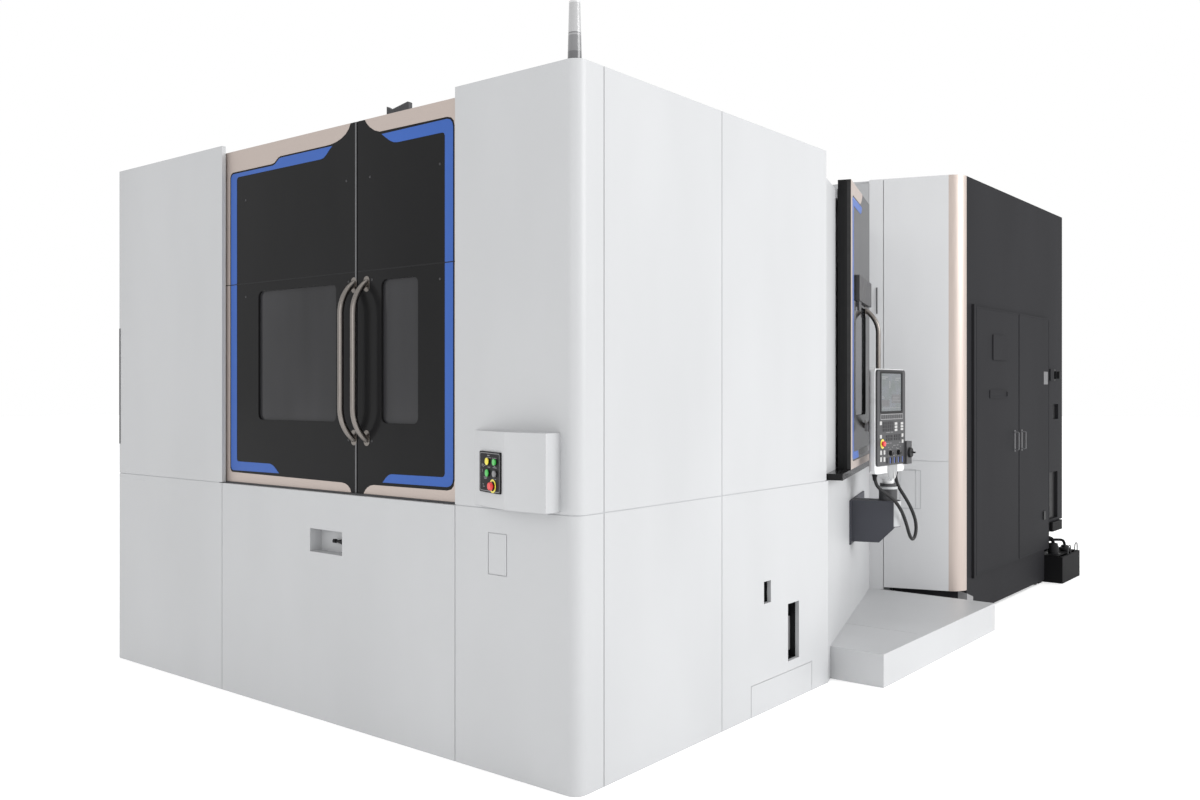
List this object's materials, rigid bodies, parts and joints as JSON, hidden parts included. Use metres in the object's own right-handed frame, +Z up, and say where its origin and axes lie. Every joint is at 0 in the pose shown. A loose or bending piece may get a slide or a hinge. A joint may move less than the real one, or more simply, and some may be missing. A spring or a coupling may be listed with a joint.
{
  "type": "cnc machining center",
  "caption": "Horizontal machining centre with sliding pallet doors, slanted operator side, swivelling pendant, step and dark rear cabinet.",
  "frame": {"origin": "centre of the footprint, on the floor", "axes": "+X to the right along the set-up front, +Y from the front to the rear, +Z up"},
  "size_m": [4.369, 7.6, 3.593],
  "materials": {
    "white": "satin powder coat",
    "trim_metal": "champagne metallic",
    "door_black": "gloss",
    "pane": "smoked",
    "handle_metal": "warm brushed",
    "cabinet_black": "fine texture",
    "black_plastic": "moulded",
    "dark_steel": "satin",
    "red_plastic": "moulded",
    "green_plastic": "moulded",
    "grey_plastic": "moulded",
    "cord_rubber": "matt",
    "casting": "painted casting",
    "bright_steel": "ground"
  },
  "bodies": {
    "root": {"cabinet_shell": "cabinet_black", "cast_bed": "casting", "coolant_tank": "cabinet_black", "corner_cover": "white", "corner_trim": "trim_metal", "door_sill": "dark_steel", "front_apron": "white", "front_left_cover": "white", "front_shell": "white", "magazine_frame": "dark_steel", "mid_shell": "white", "partition": "dark_steel", "pendant_bracket": "cabinet_black", "pendant_post": "dark_steel", "rear_panel": "white", "rear_shell": "white", "setup_box": "white", "setup_plate": "black_plastic", "side_lower_cover": "white", "side_upper_cover": "white", "signal_lamp": "black_plastic", "step_platform": "white", "wall_lower": "white", "wall_sill": "dark_steel", "wall_upper": "white"},
    "front_door_left": {"door_left": "door_black", "glass_left": "pane", "handle_left": "handle_metal"},
    "front_door_right": {"door_right": "door_black", "glass_right": "pane", "handle_right": "handle_metal"},
    "side_door": {"side_door": "door_black", "side_glass": "pane", "side_handle": "handle_metal"},
    "latch": {"latch_lever": "bright_steel"},
    "start_button": {"start_button": "green_plastic"},
    "stop_button": {"stop_button": "grey_plastic"},
    "setup_estop": {"setup_estop": "red_plastic"},
    "cabinet_door_front": {"cabinet_door_front": "cabinet_black"},
    "cabinet_door_rear": {"cabinet_door_rear": "cabinet_black"},
    "breaker_knob": {"breaker_knob": "black_plastic"},
    "pendant": {"pendant_shell": "white", "pendant_face": "black_plastic", "pendant_cord": "cord_rubber"},
    "pendant_estop": {"pendant_estop": "red_plastic"},
    "feed_knob": {"feed_knob": "black_plastic"},
    "speed_knob": {"speed_knob": "black_plastic"},
    "handwheel": {"handwheel": "black_plastic"},
    "column": {"moving_column": "casting"},
    "head": {"spindle_head": "casting"},
    "spindle": {"spindle": "bright_steel"},
    "saddle": {"table_saddle": "casting"},
    "table": {"rotary_table": "casting", "pallet_machining": "bright_steel"},
    "setup_pallet": {"pallet_setup": "bright_steel"},
    "changer_hub": {"changer_hub": "bright_steel"},
    "changer_arm": {"changer_arm": "bright_steel"},
    "shutter": {"shutter": "dark_steel"},
    "magazine": {"magazine_wheel": "bright_steel", "magazine_tools": "bright_steel"}
  },
  "joints": [
    {"name": "front_door_left_slide", "type": "slide", "parent": "root", "child": "front_door_left", "axis": [-1, 0, 0], "range_m": [0, 1.17]},
    {"name": "front_door_right_slide", "type": "slide", "parent": "root", "child": "front_door_right", "axis": [1, 0, 0], "range_m": [0, 0.58]},
    {"name": "side_door_slide", "type": "slide", "parent": "root", "child": "side_door", "axis": [-0.309, 0.9511, 0], "range_m": [0, 0.74]},
    {"name": "latch_pull", "type": "slide", "parent": "root", "child": "latch", "axis": [-1, 0, 0], "range_m": [0, 0.02], "stiffness_N_per_m": 400},
    {"name": "start_button_press", "type": "slide", "parent": "root", "child": "start_button", "axis": [0.328, 0.9447, 0], "range_m": [0, 0.003], "stiffness_N_per_m": 300},
    {"name": "stop_button_press", "type": "slide", "parent": "root", "child": "stop_button", "axis": [0.328, 0.9447, 0], "range_m": [0, 0.003], "stiffness_N_per_m": 300},
    {"name": "setup_estop_press", "type": "slide", "parent": "root", "child": "setup_estop", "axis": [0.328, 0.9447, 0], "range_m": [0, 0.005]},
    {"name": "cabinet_door_front_swing", "type": "hinge", "parent": "root", "child": "cabinet_door_front", "pos_m": [1.8825, 1.31, 1.4], "axis": [0, 0, -1], "range_deg": [0, 110]},
    {"name": "cabinet_door_rear_swing", "type": "hinge", "parent": "root", "child": "cabinet_door_rear", "pos_m": [1.8825, 3.3, 1.4], "axis": [0, 0, 1], "range_deg": [0, 110]},
    {"name": "breaker_turn", "type": "hinge", "parent": "root", "child": "breaker_knob", "pos_m": [1.8625, 3.546, 1.962], "axis": [1, 0, 0], "range_deg": [0, 90]},
    {"name": "pendant_swivel", "type": "hinge", "parent": "root", "child": "pendant", "pos_m": [1.7575, -0.125, 1.155], "axis": [0, 0, 1], "range_deg": [-4, 24]},
    {"name": "pendant_estop_press", "type": "slide", "parent": "pendant", "child": "pendant_estop", "axis": [-1, 0, 0], "range_m": [0, 0.004]},
    {"name": "feed_knob_turn", "type": "hinge", "parent": "pendant", "child": "feed_knob", "pos_m": [1.8025, -0.195, 1.374], "axis": [1, 0, 0], "range_deg": [-135, 135]},
    {"name": "speed_knob_turn", "type": "hinge", "parent": "pendant", "child": "speed_knob", "pos_m": [1.8025, -0.059, 1.374], "axis": [1, 0, 0], "range_deg": [-135, 135]},
    {"name": "handwheel_turn", "type": "hinge", "parent": "pendant", "child": "handwheel", "pos_m": [1.8025, 0.11, 1.3655], "axis": [1, 0, 0], "continuous": true},
    {"name": "column_slide", "type": "slide", "parent": "root", "child": "column", "axis": [1, 0, 0], "range_m": [-0.6, 0.6]},
    {"name": "head_slide", "type": "slide", "parent": "column", "child": "head", "axis": [0, 0, 1], "range_m": [-0.2, 0.85]},
    {"name": "spindle_spin", "type": "hinge", "parent": "head", "child": "spindle", "pos_m": [-0.0375, 1.1, 1.7], "axis": [0, 1, 0], "continuous": true},
    {"name": "table_slide", "type": "slide", "parent": "root", "child": "saddle", "axis": [0, 1, 0], "range_m": [0, 0.74]},
    {"name": "table_turn", "type": "hinge", "parent": "saddle", "child": "table", "pos_m": [-0.0375, -0.2, 1.13], "axis": [0, 0, 1], "continuous": true},
    {"name": "setup_pallet_turn", "type": "hinge", "parent": "root", "child": "setup_pallet", "pos_m": [-0.0375, -2.5, 1.13], "axis": [0, 0, 1], "continuous": true},
    {"name": "changer_lift", "type": "slide", "parent": "root", "child": "changer_hub", "axis": [0, 0, 1], "range_m": [0, 0.03]},
    {"name": "changer_swing", "type": "hinge", "parent": "changer_hub", "child": "changer_arm", "pos_m": [-0.0375, -1.355, 1.13], "axis": [0, 0, 1], "range_deg": [0, 180]},
    {"name": "shutter_lift", "type": "slide", "parent": "root", "child": "shutter", "axis": [0, 0, 1], "range_m": [0, 0.74]},
    {"name": "magazine_turn", "type": "hinge", "parent": "root", "child": "magazine", "pos_m": [-1.7375, 1.85, 1.7], "axis": [1, 0, 0], "continuous": true}
  ]
}
